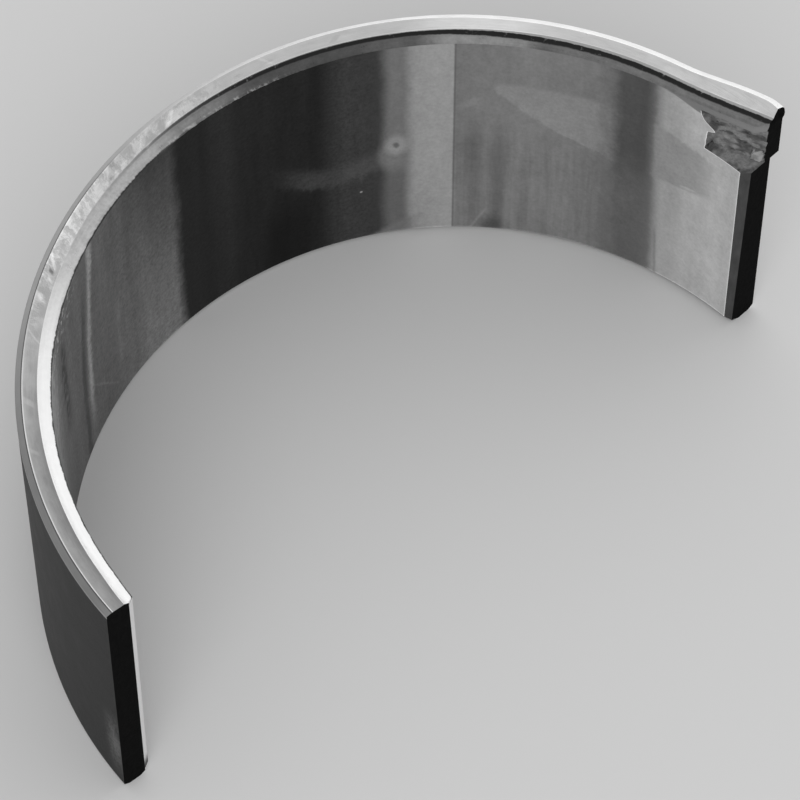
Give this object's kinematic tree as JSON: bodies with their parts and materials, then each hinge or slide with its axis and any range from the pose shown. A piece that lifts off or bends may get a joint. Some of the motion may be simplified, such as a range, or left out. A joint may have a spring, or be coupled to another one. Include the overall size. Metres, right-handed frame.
{
  "type": "engine bearing shell",
  "caption": "Half-round steel bearing shell with a smooth lined bore, chamfered edges and a locating tang pressed out of one corner, for carrying a journal in a split housing.",
  "frame": {"origin": "on the bore axis, at the middle of the shell's width", "axes": "+Z along the bore axis towards the end face beside the tang, +Y towards the crown of the half circle, +X towards the tang end"},
  "size_m": [0.0629, 0.0296, 0.024],
  "materials": {
    "shell": "satin steel with a dark polished bearing lining and bright machined edges"
  },
  "bodies": {
    "root": {"bearing_shell": "shell"}
  },
  "joints": []
}
